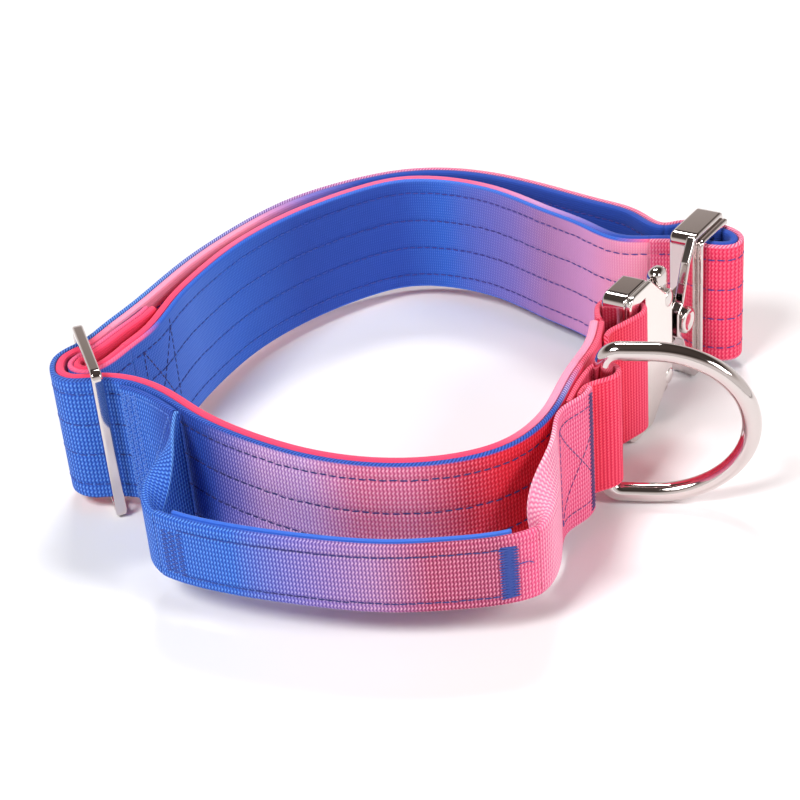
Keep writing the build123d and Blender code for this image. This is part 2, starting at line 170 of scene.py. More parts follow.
# -------------------- node-building helper
class Nodes:
    """A material built from code, with short calls for the maths nodes."""

    def __init__(self, name):
        self.material = bpy.data.materials.new(name)
        self.material.use_nodes = True
        self.tree = self.material.node_tree
        self.shader = self.tree.nodes["Principled BSDF"]

    def node(self, kind, **settings):
        made = self.tree.nodes.new("ShaderNode" + kind)
        for key, value in settings.items():
            setattr(made, key, value)
        return made

    def feed(self, socket, value):
        if isinstance(value, bpy.types.NodeSocket):
            self.tree.links.new(value, socket)
        elif isinstance(value, (tuple, list)) and len(value) == 3 and socket.type == "RGBA":
            socket.default_value = (*value, 1)
        else:
            socket.default_value = value

    def math(self, operation, *values):
        made = self.node("Math", operation=operation)
        for socket, value in zip(made.inputs, values):
            self.feed(socket, value)
        return made.outputs[0]

    def mix(self, factor, first, second, kind="MIX"):
        made = self.node("Mix", data_type="RGBA", blend_type=kind)
        self.feed(made.inputs[0], factor)
        self.feed(made.inputs[6], first)
        self.feed(made.inputs[7], second)
        return made.outputs[2]

    def blend(self, factor, first, second):
        made = self.node("Mix", data_type="FLOAT")
        self.feed(made.inputs[0], factor)
        self.feed(made.inputs[2], first)
        self.feed(made.inputs[3], second)
        return made.outputs[0]

    def ramp(self, factor, stops):
        made = self.node("ValToRGB")
        elements = made.color_ramp.elements
        while len(elements) > 1:
            elements.remove(elements[-1])
        for i, (place, color) in enumerate(stops):
            element = elements[0] if i == 0 else elements.new(place)
            element.position = place
            element.color = (*color, 1)
        self.feed(made.inputs[0], factor)
        return made.outputs[0]

    def attribute(self, name):
        return self.node("Attribute", attribute_name=name)

    def noise(self, vector, scale, detail=2.0, rough=0.5):
        made = self.node("TexNoise")
        self.feed(made.inputs["Vector"], vector)
        made.inputs["Scale"].default_value = scale
        made.inputs["Detail"].default_value = detail
        made.inputs["Roughness"].default_value = rough
        return made.outputs[0]

    def wave(self, phase):
        """From 0 to 1 and back once for each whole step of phase, with 1 at the whole numbers."""
        turned = self.math("MULTIPLY", phase, 2 * math.pi)
        return self.math("MULTIPLY_ADD", self.math("COSINE", turned), 0.5, 0.5)

    def bump(self, height, distance, strength=1.0):
        made = self.node("Bump")
        self.feed(made.inputs["Height"], height)
        made.inputs["Distance"].default_value = distance
        made.inputs["Strength"].default_value = strength
        self.tree.links.new(made.outputs[0], self.shader.inputs["Normal"])

    def set(self, **values):
        """Sets or feeds the shader's own sockets. Their names have _ for a space."""
        for key, value in values.items():
            self.feed(self.shader.inputs[key.replace("_", " ")], value)


def srgb(r, g, b):
    """A colour from 0-255 screen values, as linear numbers."""
    return tuple(
        c / 12.92 if c <= 0.04045 else ((c + 0.055) / 1.055) ** 2.4
        for c in (r / 255, g / 255, b / 255)
    )


# Each colour of the webbing in screen values: painted shade for the gaps between its ribs,
# a painted highlight for its crests, and the plain dye.
DYES_WITH_PAINTED_LIGHT = {
    "blue": ((24, 62, 160), (112, 172, 248), (50, 106, 214)),
    "deep": ((24, 52, 138), (62, 104, 206), (40, 78, 176)),
    "sky": ((40, 90, 196), (124, 172, 244), (78, 128, 226)),
    "purple": ((72, 60, 150), (198, 184, 234), (130, 120, 204)),
    "lilac": ((112, 62, 126), (238, 190, 220), (176, 130, 186)),
    "rose": ((120, 26, 62), (246, 168, 192), (186, 76, 118)),
    "crimson": ((160, 14, 44), (250, 140, 160), (216, 44, 76)),
    "orchid": ((176, 110, 176), (244, 196, 228), (216, 156, 206)),
    "pink": ((216, 60, 112), (255, 170, 196), (248, 108, 150)),
    "hot": ((222, 34, 78), (255, 124, 150), (252, 72, 112)),
    "red": ((206, 8, 34), (255, 78, 96), (242, 30, 54)),
    # haze and mauve are dyes made lighter: painted light for the middle of the front, where the handle
    # shades it.
    "haze": ((150, 98, 168), (250, 220, 244), (214, 170, 222)),
    "mauve": ((176, 66, 108), (255, 196, 216), (230, 122, 162)),
    "pale": ((228, 112, 154), (255, 214, 226), (252, 160, 190)),
}
# Tones: painted shade in the rib gaps, painted highlight on the crests, and the plain dye.
SHADED_GAP, LIT_CREST, PLAIN = range(3)


def dye_and_shading_ramp(n, place, stops, span, tone):
    """Colour ramp along a piece span mm long, from (distance in mm, dye) stops, in one of three tones:
    the painted gap shade, the painted crest highlight and the plain dye.
    """
    return n.ramp(place, [(d / span, srgb(*DYES_WITH_PAINTED_LIGHT[name][tone])) for d, name in stops])


def weave_place(n):
    """Distance along and round a strap, in millimetres, from its own map."""
    parts = n.node("SeparateXYZ")
    n.feed(parts.inputs[0], n.node("UVMap", uv_map="weave").outputs[0])
    return [n.math("MULTIPLY", parts.outputs[i], 1000.0) for i in (0, 1)]


# Pitches along and across the webbing, in millimetres.
EDGE_CORD = (1.25, 1.7)
LINING_WEAVE = (0.8, 0.9)


def webbing_material(name, stops, edge_stops, span, rib=1.26, dot=1.75, relief=0.0002, depth=1.0):
    """Ribbed woven webbing. Its dye changes along the strap, and its edges are a knitted cord.

    stops and edge_stops are (distance in mm, dye) along the piece, which is span mm long. depth
    is how strongly the painted shade in the gaps and the painted highlight on the crests of the weave
    differ from the plain dye.
    """
    n = Nodes(name)
    along, across = weave_place(n)
    edge = n.attribute("edge").outputs["Fac"]
    place = n.math("DIVIDE", along, span)
    where = n.node("TexCoord").outputs["Object"]
    drift = n.noise(where, 220.0, 2.0)
    swing = n.math("MULTIPLY", n.math("SINE", n.math("MULTIPLY", across, 2 * math.pi / dot)), 0.13)
    line = n.math("ADD", n.math("DIVIDE", along, rib), swing)
    line = n.math("ADD", line, n.math("MULTIPLY", drift, 0.22))
    ribs = n.wave(line)
    knots = n.wave(n.math("MULTIPLY_ADD", drift, 0.25, n.math("DIVIDE", across, dot)))
    long_knots = n.math("MULTIPLY_ADD", knots, 0.8, 0.2)
    dots = n.math("POWER", n.math("MULTIPLY", ribs, long_knots), 1.6)
    height = n.math("MULTIPLY_ADD", dots, 0.5, n.math("MULTIPLY", ribs, 0.5))

    cord = n.wave(n.math("ADD", n.math("DIVIDE", along, EDGE_CORD[0]),
                         n.math("DIVIDE", across, EDGE_CORD[1])))
    gap_shade, crest_highlight, plain = [dye_and_shading_ramp(n, place, stops, span, tone) for tone in (SHADED_GAP, LIT_CREST, PLAIN)]
    # The gaps between the ribs get painted shade, and the crest dots get a painted highlight.
    cloth = n.mix(n.math("MULTIPLY", n.math("SUBTRACT", 1.0, ribs), 0.88 * depth), plain, gap_shade)
    cloth = n.mix(n.math("MULTIPLY", dots, 0.9 * depth), cloth, crest_highlight)
    speckle = n.mix(n.noise(where, 1500.0, 3.0, 0.7), (0.82, 0.80, 0.83), (1.0, 1.0, 1.0))
    cloth = n.mix(0.5, cloth, speckle, "MULTIPLY")
    # The edge cord's diagonal twist gets painted shade in its grooves and, where depth is 1, a painted
    # highlight on its ridges.
    rim = dye_and_shading_ramp(n, place, edge_stops, span, LIT_CREST if depth == 1.0 else PLAIN)
    rim_gap_shade = dye_and_shading_ramp(n, place, edge_stops, span, SHADED_GAP)
    rope = n.mix(n.math("MULTIPLY_ADD", cord, depth, 1 - depth), rim_gap_shade, rim)
    n.set(Base_Color=n.mix(edge, cloth, rope), Roughness=n.blend(height, 0.80, 0.60))
    n.set(Sheen_Weight=0.04, Sheen_Roughness=0.4, Specular_IOR_Level=0.28)
    n.bump(n.blend(edge, height, cord), relief, 0.85)
    return n.material


def lining_material(name, stops, span):
    """Soft padded webbing: a fine close weave that only shows as a faint grain."""
    n = Nodes(name)
    along, across = weave_place(n)
    place = n.math("DIVIDE", along, span)
    row = n.math("DIVIDE", across, LINING_WEAVE[1])
    column = n.math("DIVIDE", along, LINING_WEAVE[0])
    shifted = n.math("MULTIPLY_ADD", n.math("ROUND", row), 0.5, column)
    height = n.math("MULTIPLY", n.wave(row), n.math("MULTIPLY_ADD", n.wave(shifted), 0.5, 0.5))
    fuzz = n.noise(n.node("TexCoord").outputs["Object"], 900.0, 4.0, 0.7)
    height = n.math("ADD", height, n.math("MULTIPLY", fuzz, 0.8))
    gap_shade, plain = [dye_and_shading_ramp(n, place, stops, span, tone) for tone in (SHADED_GAP, PLAIN)]
    # The low parts of the grain are mixed towards the gap tone: painted shade in the grain's hollows.
    level = n.math("MULTIPLY_ADD", height, 0.25, 0.7)
    n.set(Base_Color=n.mix(level, gap_shade, plain), Roughness=n.blend(fuzz, 0.9, 0.7))
    n.set(Sheen_Weight=0.10, Sheen_Roughness=0.5, Specular_IOR_Level=0.25)
    n.bump(height, 0.0002, 0.6)
    return n.material


def metal_material(name, tone, rough, scratch=0.04):
    """Polished plated metal with a fine haze and faint hairline wear."""
    n = Nodes(name)
    where = n.node("TexCoord").outputs["Object"]
    haze = n.noise(where, 55.0, 4.0, 0.6)
    stretched = n.node("Mapping")
    stretched.inputs["Scale"].default_value = (900, 60, 60)
    n.feed(stretched.inputs[0], where)
    hair = n.noise(stretched.outputs[0], 1.0, 2.0)
    n.set(Metallic=1.0, Base_Color=n.mix(haze, tuple(c * 0.93 for c in tone), tone))
    level = n.math("MULTIPLY_ADD", haze, scratch, rough)
    n.set(Roughness=n.math("MULTIPLY_ADD", hair, scratch * 0.6, level))
    n.bump(haze, 0.00002, 0.25)
    return n.material


# -------------------- mesh helpers
def skin(rings, count, first=0, closed=False):
    """Faces between rings of count points each, then a cap at each end unless the rings close up."""
    faces = []
    for i in range(rings if closed else rings - 1):
        a, b = first + i * count, first + (i + 1) % rings * count
        for k in range(count):
            m = (k + 1) % count
            faces.append((a + k, a + m, b + m, b + k))
    if not closed:
        last = first + (rings - 1) * count
        faces.append(tuple(range(first, first + count))[::-1])
        faces.append(tuple(range(last, last + count)))
    return faces


def new_mesh(name, verts, faces, material, body):
    """A smooth-shaded piece from points in metres. Without a body it is left for the caller to settle."""
    mesh = bpy.data.meshes.new(name)
    mesh.from_pydata([tuple(v) for v in verts], [], faces)
    mesh.validate()
    obj = bpy.data.objects.new(name, mesh)
    bpy.context.collection.objects.link(obj)
    mesh.materials.append(material)
    mesh.polygons.foreach_set("use_smooth", [True] * len(mesh.polygons))
    if body:
        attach(obj, body)
    return obj


DIP_DEPTH, DIP_WIDTH = 0.28, 0.42  # how stitches draw a face in


def profile(thickness, low, high, radius, rows=(), pitch=2.2):
    """Points round a strap's rounded cross-section: (depth, height, on the edge or not).

    Both faces are drawn in a little along each row of stitches, where the points stand closer.
    """
    count = max(4, round((high - low - 2 * radius) / pitch))
    heights = list(np.linspace(low + radius, high - radius, count + 1))
    for row in rows:
        heights = [z for z in heights if abs(z - row) > 1.1]
        heights += [row - 0.8, row - 0.3, row, row + 0.3, row + 0.8]
    heights += [low + radius + 0.3, high - radius - 0.3]
    heights = sorted(z for z in heights if low + radius + 0.1 <= z <= high - radius - 0.1)

    def dip(z):
        return max([DIP_DEPTH * math.exp(-(((z - row) / DIP_WIDTH) ** 2)) for row in rows], default=0)

    turn = [math.pi / 2 * i / 4 for i in range(1, 4)]
    arc = [(radius - radius * math.cos(a), radius - radius * math.sin(a)) for a in turn]
    points = [(thickness - dip(z), z, 0) for z in heights]
    points += [(thickness - x, high - y, 1) for x, y in arc]
    points += [(thickness - radius, high, 1), (radius, high, 1)]
    points += [(x, high - y, 1) for x, y in reversed(arc)]
    points += [(dip(z), z, 0) for z in reversed(heights)]
    points += [(x, low + y, 1) for x, y in arc]
    points += [(radius, low, 1), (thickness - radius, low, 1)]
    points += [(thickness - x, low + y, 1) for x, y in reversed(arc)]
    xs = np.array(points, float)
    steps = np.linalg.norm(np.diff(np.vstack([xs[:, :2], xs[:1, :2]]), axis=0), axis=1)
    return xs, np.concatenate([[0], np.cumsum(steps)])


def band(name, line, start, end, sides, material, low=LOW, high=HIGH, step=1.2,
         body="collar", radius=0.8, shape=None, rows=(), corded=True):
    """A closed length of webbing, standing on edge along a plan line between two distances.

    sides are the offsets of its two faces. shape(distances, depth 0-1, height) gives an extra
    offset and a new height. Each face corner stores its distance and its way round the section,
    and a corded piece marks its two edges for the knitted cord.
    """
    thickness = abs(sides[1] - sides[0])
    xs, round_at = profile(thickness, low, high, min(radius, thickness * 0.45), rows)
    count = max(6, int((end - start) / step))
    stations = np.linspace(start, end, count + 1)
    ring = len(xs)
    sign = 1 if sides[1] > sides[0] else -1
    verts = np.zeros((count + 1, ring, 3))
    for k, (depth, z, _) in enumerate(xs):
        extra, height = 0, z
        if shape:
            extra, height = shape(stations, depth / thickness, z)
        verts[:, k, :2] = line.read(stations, sides[0] + sign * depth + extra)
        verts[:, k, 2] = height
    faces = [face[::sign] for face in skin(count + 1, ring)]
    side_faces = count * ring
    obj = new_mesh(name, verts.reshape(-1, 3) * MM, faces, material, body)
    mesh = obj.data
    for polygon in mesh.polygons[side_faces:]:
        polygon.use_smooth = False
    corner = np.zeros(len(mesh.loops), int)
    mesh.loops.foreach_get("vertex_index", corner)
    values = np.stack([stations[corner // ring], round_at[corner % ring]], axis=1)
    # Where a face closes the section, its far corners go on past one full turn.
    quads = values[: side_faces * 4].reshape(-1, 4, 2)
    seam = np.ptp(quads[:, :, 1], axis=1) > round_at[-1] / 2
    wrapped = quads[seam]
    wrapped[:, :, 1] += np.where(wrapped[:, :, 1] < round_at[-1] / 2, round_at[-1], 0)
    quads[seam] = wrapped
    uv = mesh.uv_layers.new(name="weave")
    uv.data.foreach_set("uv", (values * MM).astype(np.float32).ravel())
    edge = mesh.attributes.new("edge", "FLOAT", "POINT")
    edge.data.foreach_set("value", np.tile(xs[:, 2] * corded, count + 1).astype(np.float32))
    return obj


# -------------------- hardware helpers
def rounded(corners, radius, steps=6):
    """An outline with its corners rounded. corners are (x, y), or (x, y, own radius)."""
    points = []
    count = len(corners)
    for i, corner in enumerate(corners):
        here = np.array(corner[:2], float)
        size = corner[2] if len(corner) > 2 else radius
        before = np.array(corners[i - 1][:2], float) - here
        after = np.array(corners[(i + 1) % count][:2], float) - here
        room = min(np.linalg.norm(before), np.linalg.norm(after)) * 0.49
        before /= np.linalg.norm(before)
        after /= np.linalg.norm(after)
        half = math.acos(np.clip(before @ after, -1, 1)) / 2
        reach = min(size / math.tan(half), room)
        if reach < 1e-3 or half > 1.55:
            points.append(tuple(here))
            continue
        start, end = here + before * reach, here + after * reach
        for k in range(steps + 1):
            t = k / steps
            points.append(tuple((1 - t) ** 2 * start + 2 * t * (1 - t) * here + t**2 * end))
    return points


def circle(center, radius, count=32):
    """Outline of a circle."""
    return [around(center, radius, 360 * k / count) for k in range(count)]


def rectangle(x0, x1, y0, y1):
    """Corners of a rectangle."""
    return [(x0, y0), (x1, y0), (x1, y1), (x0, y1)]


def upper_and_lower(upper):
    """A closed outline from the corners of its upper half."""
    return upper + [(p[0], -p[1], *p[2:]) for p in reversed(upper)]


def standing(place, height, angle):
    """Matrix of a standing plane: x along the plan angle, y up, z out of the plane."""
    along = Vector((math.cos(angle), math.sin(angle), 0))
    out = Vector((math.sin(angle), -math.cos(angle), 0))
    matrix = Matrix((along, Vector((0, 0, 1)), out)).transposed().to_4x4()
    matrix.translation = Vector((*place, height)) * MM
    return matrix


BUCKLE = standing(BUCKLE_START, MIDDLE, BUCKLE_ANGLE)
SLIDER = standing(SLIDER_BAR, MIDDLE, SLIDER_ANGLE)


def plate(outlines, low, high, bevel, place, resolution=4):
    """Mesh of a flat plate between two heights over a plane, its rims rounded by bevel (mm)."""
    curve = bpy.data.curves.new("plate", "CURVE")
    curve.dimensions = "2D"
    curve.fill_mode = "BOTH"
    curve.extrude = ((high - low) / 2 - bevel) * MM
    curve.bevel_depth = bevel * MM
    curve.bevel_resolution = resolution
    curve.offset = -bevel * MM
    for outline in outlines:
        spline = curve.splines.new("POLY")
        spline.points.add(len(outline) - 1)
        for point, (x, y) in zip(spline.points, outline):
            point.co = (x * MM, y * MM, 0, 1)
        spline.use_cyclic_u = True
    holder = bpy.data.objects.new("plate", curve)
    mesh = bpy.data.meshes.new_from_object(holder)
    bpy.data.objects.remove(holder)
    bpy.data.curves.remove(curve)
    mesh.transform(place @ Matrix.Translation((0, 0, (low + high) / 2 * MM)))
    return mesh


def lathe(outline, place, count=40):
    """Mesh turned about a plane's z axis. outline is (radius, height) pairs in mm."""
    verts = []
    for radius, height in outline:
        for k in range(count):
            a = 2 * math.pi * k / count
            verts.append(tuple(Vector((radius * math.cos(a), radius * math.sin(a), height)) * MM))
    mesh = bpy.data.meshes.new("lathe")
    mesh.from_pydata(verts, [], skin(len(outline), count))
    mesh.transform(place)
    return mesh


def tube(points, radius, sides, closed=False):
    """Mesh of a round wire along points in mm, carrying one section along with no twist."""
    p = np.array(points, float)
    count = len(p)
    if closed:
        tangent = np.roll(p, -1, axis=0) - np.roll(p, 1, axis=0)
    else:
        tangent = np.gradient(p, axis=0)
    tangent /= np.linalg.norm(tangent, axis=1)[:, None]
    across = np.cross(tangent[0], (0.3, 0.5, 0.81))
    across /= np.linalg.norm(across)
    verts = []
    for i in range(count):
        across = across - (across @ tangent[i]) * tangent[i]
        across /= np.linalg.norm(across)
        up = np.cross(tangent[i], across)
        for k in range(sides):
            a = 2 * math.pi * k / sides
            verts.append(tuple((p[i] + radius * (math.cos(a) * across + math.sin(a) * up)) * MM))
    mesh = bpy.data.meshes.new("tube")
    mesh.from_pydata(verts, [], skin(count, sides, closed=closed))
    return mesh


SHARP_ANGLE = math.radians(38)  # faces that meet at more than this keep a crisp edge


def metal_piece(name, meshes, body, slot_name, *nodes):
    """Joins meshes into one hardware piece, in its slot's metal, that stands for its CAD nodes."""
    work = bmesh.new()
    for mesh in meshes:
        work.from_mesh(mesh)
        bpy.data.meshes.remove(mesh)
    bmesh.ops.remove_doubles(work, verts=work.verts, dist=1e-6)
    bmesh.ops.recalc_face_normals(work, faces=work.faces)
    mesh = bpy.data.meshes.new(name)
    work.to_mesh(mesh)
    work.free()
    mesh.materials.clear()
    mesh.materials.append(METALS[slot_name])
    mesh.polygons.foreach_set("use_smooth", [True] * len(mesh.polygons))
    mesh.polygons.foreach_set("material_index", [0] * len(mesh.polygons))
    mesh.set_sharp_from_angle(angle=SHARP_ANGLE)
    obj = bpy.data.objects.new(name, mesh)
    bpy.context.collection.objects.link(obj)
    weighted = obj.modifiers.new("weighted", "WEIGHTED_NORMAL")
    weighted.keep_sharp = True
    weighted.weight = 80
    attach(obj, body)
    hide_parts(*nodes)
    return obj


# -------------------- thread
def stitches(name, line, segments, material, body):
    """Short raised threads, each a small capsule between two points (distance, offset, z) in mm."""
    sides = 6
    rings = ((0.0, 0.25), (0.12, 0.8), (0.5, 1.0), (0.88, 0.8), (1.0, 0.25))  # (place, share of size)
    verts, faces, along = [], [], []
    for (d0, o0, z0), (d1, o1, z1), size in segments:
        ends = line.read([d0, d1], [o0, o1])
        a = np.array([*ends[0], z0])
        b = np.array([*ends[1], z1])
        run = b - a
        length = np.linalg.norm(run)
        run /= length
        side = np.cross(run, (0.21, 0.43, 0.87))
        side /= np.linalg.norm(side)
        top = np.cross(run, side)
        first = len(verts)
        for t, s in rings:
            for k in range(sides):
                w = 2 * math.pi * k / sides
                round_it = math.cos(w) * side + math.sin(w) * top
                verts.append((a + run * length * t + size * s * round_it) * MM)
                along.append((d0 + (d1 - d0) * t) * MM)
        faces += skin(len(rings), sides, first)
    obj = new_mesh(name, verts, faces, material, body)
    uv = obj.data.uv_layers.new(name="weave")
    corner = np.zeros(len(obj.data.loops), int)
    obj.data.loops.foreach_get("vertex_index", corner)
    values = np.zeros((len(corner), 2), np.float32)
    values[:, 0] = np.array(along)[corner]
    values[:, 1] = np.array([v[2] for v in verts])[corner]
    uv.data.foreach_set("uv", values.ravel())
    return obj


def running(start, end, offset, height, pitch=3.3, length=2.5, size=0.26, wander=0.12):
    """A row of straight stitches along a strap's face, a little uneven."""
    rows = []
    for d in np.arange(start, end - length, pitch):
        z0, z1 = height + rng.normal(0, wander, 2)
        rows.append(((d, offset, z0), (d + length, offset, z1), size))
    return rows


def crossing(a, b, offset, pitch=3.0, length=2.4, size=0.26):
    """Stitches in a straight line between two (distance, height) points on a strap's face."""
    a, b = np.array(a, float), np.array(b, float)
    total = np.linalg.norm(b - a)
    run = (b - a) / total
    rows = []
    for t in np.arange(0, total - length * 0.6, pitch):
        p, q = a + run * t, a + run * min(t + length, total)
        rows.append(((p[0], offset, p[1]), (q[0], offset, q[1]), size))
    return rows


def sewn_lines(lines, offset, **sizes):
    """Stitches along several straight lines, each between two (distance, height) points."""
    rows = []
    for a, b in lines:
        rows += crossing(a, b, offset, **sizes)
    return rows


def bar_tack(distance, low, high, offset, width, pitch, size=0.24):
    """A dense zigzag column of thread."""
    rows = []
    side = 1
    for z in np.arange(low, high, pitch):
        half = width / 2 * (1 + rng.normal(0, 0.06))
        first = (distance - side * half, offset, z)
        last = (distance + side * half, offset, z + pitch)
        rows.append((first, last, size))
        side = -side
    return rows


# -------------------- looks
# Dye stops are (distance along the strap or the handle, dye). On the front, the deep stretch from 197
# to 217 is painted shadow where the left flare shades the front, and the mauve and haze stretch from
# 120 to 170 is the dye made lighter, painted light where the handle shades it.
COVER_STOPS = [
    (0, "hot"), (40, "hot"), (62, "red"), (88, "red"), (102, "crimson"), (120, "mauve"),
    (136, "mauve"), (154, "haze"), (170, "haze"), (184, "purple"), (197, "deep"), (217, "deep"),
    (228, "blue"), (320, "blue"), (400, "purple"), (470, "lilac"), (530, "pink"), (600, "hot"),
    (662, "hot"), (674, "pink"), (684, "pale"), (1042, "pink"),
]
COVER_EDGE_STOPS = [
    (0, "hot"), (30, "hot"), (48, "purple"), (60, "deep"), (250, "deep"), (330, "blue"), (400, "purple"),
    (500, "pink"), (688, "pink"), (1042, "pink"),
]
INNER_STOPS = [
    (660, "hot"), (680, "pale"), (702, "orchid"), (724, "lilac"), (746, "purple"), (780, "blue"),
    (800, "deep"), (850, "deep"), (890, "blue"), (922, "sky"), (960, "blue"), (1042, "blue"),
]
INNER_EDGE_STOPS = [
    (660, "pink"), (676, "pink"), (686, "blue"), (780, "sky"), (880, "blue"), (950, "blue"),
    (962, "pink"), (1042, "pink"),
]
LINING_STOPS = [
    (0, "pale"), (56, "pale"), (90, "hot"), (290, "hot"), (310, "pale"), (396, "pale"),
    (430, "purple"), (456, "deep"), (690, "deep"), (708, "purple"), (735, "orchid"),
    (770, "pink"), (880, "pink"), (930, "hot"), (1042, "hot"),
]
cover_look = webbing_material("ribbed_webbing", COVER_STOPS, COVER_EDGE_STOPS, TAIL_END)
inner_look = webbing_material("fine_webbing", INNER_STOPS, INNER_EDGE_STOPS, TAIL_END, rib=0.95,
                              dot=1.2, relief=0.0001, depth=0.42)
lining_look = lining_material("soft_lining", LINING_STOPS, TAIL_END)
LOOP_SPAN, HANDLE_SPAN = 60.0, 290.0  # the dye stops of the loops and the handle cover these lengths
loop_look = webbing_material("red_webbing", [(0, "hot"), (34, "hot"), (60, "red")],
                             [(0, "hot"), (60, "hot")], LOOP_SPAN, rib=1.45, dot=1.2)
GRIP_STOPS = [
    (0, "blue"), (70, "blue"), (92, "purple"), (118, "lilac"), (136, "rose"), (158, "rose"),
    (170, "pink"), (180, "pale"), (204, "pale"), (211, "pink"), (290, "pink"),
]
handle_look = webbing_material("handle_webbing", GRIP_STOPS, GRIP_STOPS, HANDLE_SPAN, rib=1.2)
grip_lining_look = lining_material("grip_lining", [(0, "blue"), (290, "sky")], HANDLE_SPAN)
METALS = {
    "polished_metal": metal_material("polished_nickel", (0.70, 0.63, 0.615), 0.045),
    "plate_metal": metal_material("nickel_plate", (0.86, 0.81, 0.775), 0.13),
    "rivet_metal": metal_material("rivet_metal", (0.74, 0.68, 0.66), 0.08),
    "spring_steel": metal_material("spring_steel", (0.62, 0.62, 0.64), 0.16),
}
THREAD_TWIST = 0.45  # pitch, in millimetres


def thread_look(name, stops, span):
    """Twisted sewing thread, its colour changing along the strap."""
    n = Nodes(name)
    along, across = weave_place(n)
    base = n.ramp(n.math("DIVIDE", along, span), [(d / span, srgb(*c)) for d, c in stops])
    twist = n.wave(n.math("ADD", n.math("DIVIDE", along, THREAD_TWIST),
                          n.math("DIVIDE", across, THREAD_TWIST)))
    # The grooves of the twist are darkened towards black: painted shade in the twist.
    n.set(Base_Color=n.mix(twist, n.mix(0.4, base, (0, 0, 0.01)), base))
    n.set(Roughness=n.blend(twist, 0.6, 0.42), Sheen_Weight=0.1)
    n.bump(twist, 0.00008, 0.8)
    return n.material


# Thread colours, in screen values.
NAVY = (40, 38, 120)
INDIGO = (72, 60, 160)
GRIP_BLUE = (34, 74, 176)
TACK_BLUE = (38, 72, 168)
PATCH_BLUE = (92, 142, 236)
END_BLUE = (66, 98, 190)
BOX_BLUE = (26, 44, 130)
thread = thread_look(
    "thread",
    [(0, NAVY), (236, NAVY), (252, (40, 78, 180)), (330, (60, 80, 200)), (600, INDIGO),
     (690, INDIGO), (760, INDIGO), (830, (40, 70, 180)), (900, (66, 114, 222)),
     (965, (28, 48, 150)), (1042, NAVY)],
    TAIL_END,
)
handle_thread = thread_look(
    "handle_thread",
    [(0, GRIP_BLUE), (70, GRIP_BLUE), (84, NAVY), (155, (50, 50, 130)), (159, TACK_BLUE),
     (172, TACK_BLUE), (240, (96, 50, 120)), (244, END_BLUE), (290, END_BLUE)],
    HANDLE_SPAN,
)
patch_thread = thread_look("patch_thread", [(0, PATCH_BLUE), (300, PATCH_BLUE)], 300.0)
box_thread = thread_look("box_thread", [(0, BOX_BLUE), (TAIL_END, BOX_BLUE)], TAIL_END)

# -------------------- the long strap
ROWS = (49.5, 36.8, 24.2, 11.5)  # heights of the four rows of stitches
# In metres: where a bent length starts to leave the collar, and where it is all on the male half.
BEHIND = 15.0  # the male turn starts and ends this far behind the buckle's middle plane
reach = (strap.xy - np.array(BUCKLE_START)) @ OUT + BEHIND


def crossing_at(low, high):
    """Distance along the strap where it passes behind the buckle, between two guesses."""
    k = np.where((strap.d > low) & (strap.d < high))[0]
    order = np.argsort(reach[k])
    return float(np.interp(0, reach[k][order], strap.d[k][order]))


TURN_START, TURN_END = crossing_at(590, 625), crossing_at(655, 695)
LENGTHS = [
    ("front", 0.0, FRONT_END),
    ("slider_turn", FRONT_END, SLIDER_TURN_END),
    ("back_outer", SLIDER_TURN_END, TURN_START),
    ("male_turn", TURN_START, TURN_END),
    ("back_inner", TURN_END, INNER_RUN_END),
    ("slider_tail", INNER_RUN_END, TAIL_END),
]
BENT = ("back_outer", "male_turn", "back_inner")


def settle(obj, name):
    """A strap length by the male half keeps its place baked in and stays unattached. The others follow
    the collar.
    """
    if name in BENT:
        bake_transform(obj)
    else:
        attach(obj, "collar")


TAIL_LINING_FACE = -2.9  # the lining is squeezed where the tail goes round the centre bar
for name, start, end in LENGTHS:
    step = 0.9 if name in ("slider_turn", "male_turn", "slider_tail") else 1.3
    look = inner_look if name in ("back_inner", "slider_tail") else cover_look
    cover = band(f"{name}_cover", strap, start, end, COVER, look,
                 step=step, body=None, rows=ROWS)
    inner_face = TAIL_LINING_FACE if name == "slider_tail" else LINING[1]
    lining = band(f"{name}_padding", strap, start, end, (LINING[0], inner_face), lining_look,
                  step=step, body=None, rows=ROWS, radius=1.2)
    for piece, ply in ((cover, "webbing"), (lining, "lining")):
        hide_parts(f"{name}_{ply}")
        settle(piece, name)
    rows = []
    for offset in (COVER[1] - 0.02, inner_face + 0.02):
        for z in ROWS:
            rows += running(start + 1.0, end - 0.5, offset, z)
    settle(stitches(f"{name}_stitching", strap, rows, thread, None), name)

# -------------------- loops, patch and handle
LOOP_FACES = (-1, 1)
PATCH_START, PATCH_END, PATCH_FACES = 211.0, 241.0, (2.2, 4.2)
loop = band("female_loop", female_loop, 0, female_loop.length, LOOP_FACES, loop_look,
            step=0.8)
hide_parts("female_loop_webbing")
keeper_piece = band("ring_keeper", keeper, 0, keeper.length, LOOP_FACES, loop_look,
                    low=9.0, high=54.0, step=0.8)
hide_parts("ring_keeper_webbing")
patch = band("handle_left_patch_webbing", strap, PATCH_START, PATCH_END, PATCH_FACES, cover_look,
             low=6.5, high=54.5)
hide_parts("handle_left_patch")

GRIP_LOW, GRIP_HIGH = 12.5, 38.5
GRIP_MIDDLE = (GRIP_LOW + GRIP_HIGH) / 2
GRIP_ROWS = (GRIP_HIGH - 4, GRIP_LOW + 4)
FLARE_END, GRIP_END = 40.25, 172.25
SOFT_START, SOFT_END, SOFT_FACES = 46.0, 163.6, (3.3, 5.0)
GRIP_THICKNESS, FLARE_PLY = 3.2, 1.6
FLAP, BEND_WIDTH = 11.1, 5.0  # from an edge to the middle of its fold, and the width the fold takes up
LEAN = 0.8  # a folding edge reaches this share of its full way inwards


